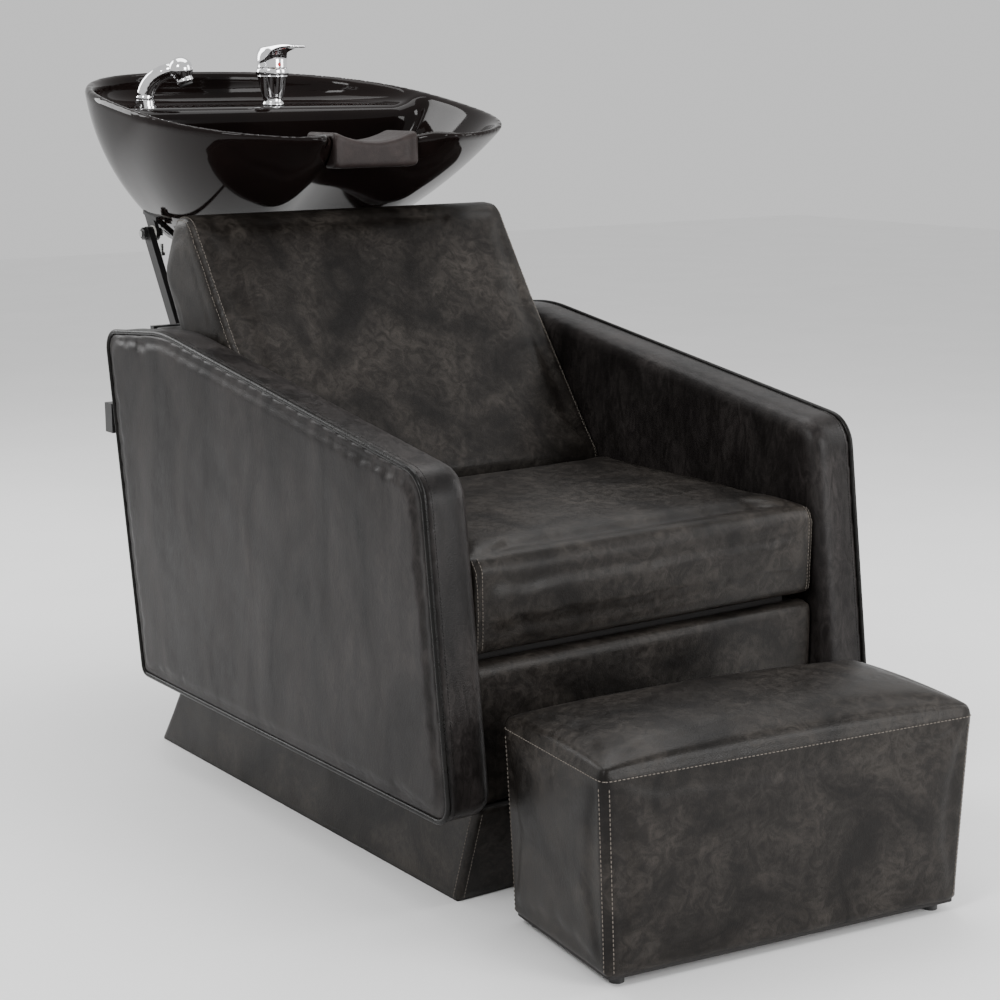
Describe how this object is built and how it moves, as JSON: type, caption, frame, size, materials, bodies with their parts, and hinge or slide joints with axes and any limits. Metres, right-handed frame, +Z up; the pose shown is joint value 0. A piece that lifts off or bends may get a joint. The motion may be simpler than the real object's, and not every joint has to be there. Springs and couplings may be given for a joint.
{
  "type": "shampoo backwash unit",
  "caption": "Upholstered armchair on a recessed plinth with a tilting ceramic wash bowl behind its backrest, a mixer, a pull-out hand shower and a loose footstool",
  "frame": {"origin": "floor level under the centre of the chair's plinth", "axes": "+Z up, the sitter faces -Y, +X towards the sitter's left"},
  "size_m": [0.7074, 1.5876, 1.0671],
  "materials": {
    "leather": "satin",
    "leather_welt": "satin",
    "foam": "matte",
    "plywood": "matte",
    "dark_plywood": "matte",
    "bowl_ceramic": "gloss",
    "black_steel": "satin",
    "zinc_steel": "satin",
    "chrome": "polished",
    "black_plastic": "satin",
    "white_plastic": "satin",
    "neck_rubber": "matte",
    "indicator": "gloss",
    "nylon": "satin",
    "brass": "satin"
  },
  "bodies": {
    "chair": {"plinth_frame": "dark_plywood", "plinth_cover": "leather", "base_board": "dark_plywood", "arm_cover_left": "leather", "arm_cover_right": "leather", "arm_filling_left": "foam", "arm_filling_right": "foam", "arm_board_left": "plywood", "arm_board_right": "plywood", "arm_piping_left": "leather_welt", "arm_piping_right": "leather_welt", "seat_cover": "leather", "seat_foam": "foam", "seat_board": "dark_plywood", "seat_support_rails": "dark_plywood", "front_apron": "leather", "front_rail": "dark_plywood", "backrest_cover": "leather", "backrest_foam": "foam", "backrest_board": "plywood", "backrest_brackets": "zinc_steel", "rear_panel": "black_plastic", "rear_panel_screws": "zinc_steel", "rear_shelf": "leather", "rear_crossbar": "black_steel", "crossbar_end_caps": "black_plastic", "crossbar_bolts": "zinc_steel", "strut_left": "black_steel", "strut_right": "black_steel", "pivot_bolts": "zinc_steel", "pivot_nuts": "black_plastic", "friction_washers": "nylon"},
    "bowl": {"bowl_shell": "bowl_ceramic", "tilt_bracket_left": "black_steel", "tilt_bracket_right": "black_steel", "bracket_screws": "zinc_steel", "drain_flange": "chrome", "drain_locknut": "brass", "bottle_trap": "white_plastic", "trap_nut": "white_plastic", "mixer_body": "chrome", "mixer_collar": "chrome", "mixer_cartridge": "white_plastic", "mixer_shank": "brass", "mixer_fixing_nut": "brass", "handset_socket": "chrome", "handset_socket_nut": "brass"},
    "strainer": {"drain_strainer": "chrome"},
    "tap_spindle": {"cartridge_spindle": "brass"},
    "tap_lever": {"mixer_lever": "chrome", "lever_indicator": "indicator"},
    "handset": {"handset_handle": "chrome", "handset_head": "chrome", "handset_spray_face": "black_plastic", "handset_hose_end": "chrome"},
    "neck_pad": {"neck_pad": "neck_rubber"},
    "footstool": {"stool_cover": "leather", "stool_pad": "foam", "stool_frame": "dark_plywood", "stool_glides": "black_plastic"}
  },
  "joints": [
    {"name": "bowl_tilt", "type": "hinge", "parent": "chair", "child": "bowl", "pos_m": [0, 0.592, 0.775], "axis": [-1, 0, 0], "range_deg": [0, 12]},
    {"name": "strainer_lift", "type": "slide", "parent": "bowl", "child": "strainer", "axis": [0, 0, 1], "range_m": [0, 0.06]},
    {"name": "tap_turn", "type": "hinge", "parent": "bowl", "child": "tap_spindle", "pos_m": [0.046, 0.62, 1], "axis": [0, 0, 1], "range_deg": [-45, 45]},
    {"name": "tap_lift", "type": "hinge", "parent": "tap_spindle", "child": "tap_lever", "pos_m": [0.046, 0.62, 1.0363], "axis": [-1, 0, 0], "range_deg": [0, 20]},
    {"name": "handset_pull", "type": "slide", "parent": "bowl", "child": "handset", "axis": [0, 0, 1], "range_m": [0, 0.06]},
    {"name": "neck_pad_lift", "type": "slide", "parent": "bowl", "child": "neck_pad", "axis": [0, 0, 1], "range_m": [0, 0.06]},
    {"name": "footstool_slide", "type": "slide", "parent": "chair", "child": "footstool", "axis": [0, -1, 0], "range_m": [0, 0.2]}
  ]
}
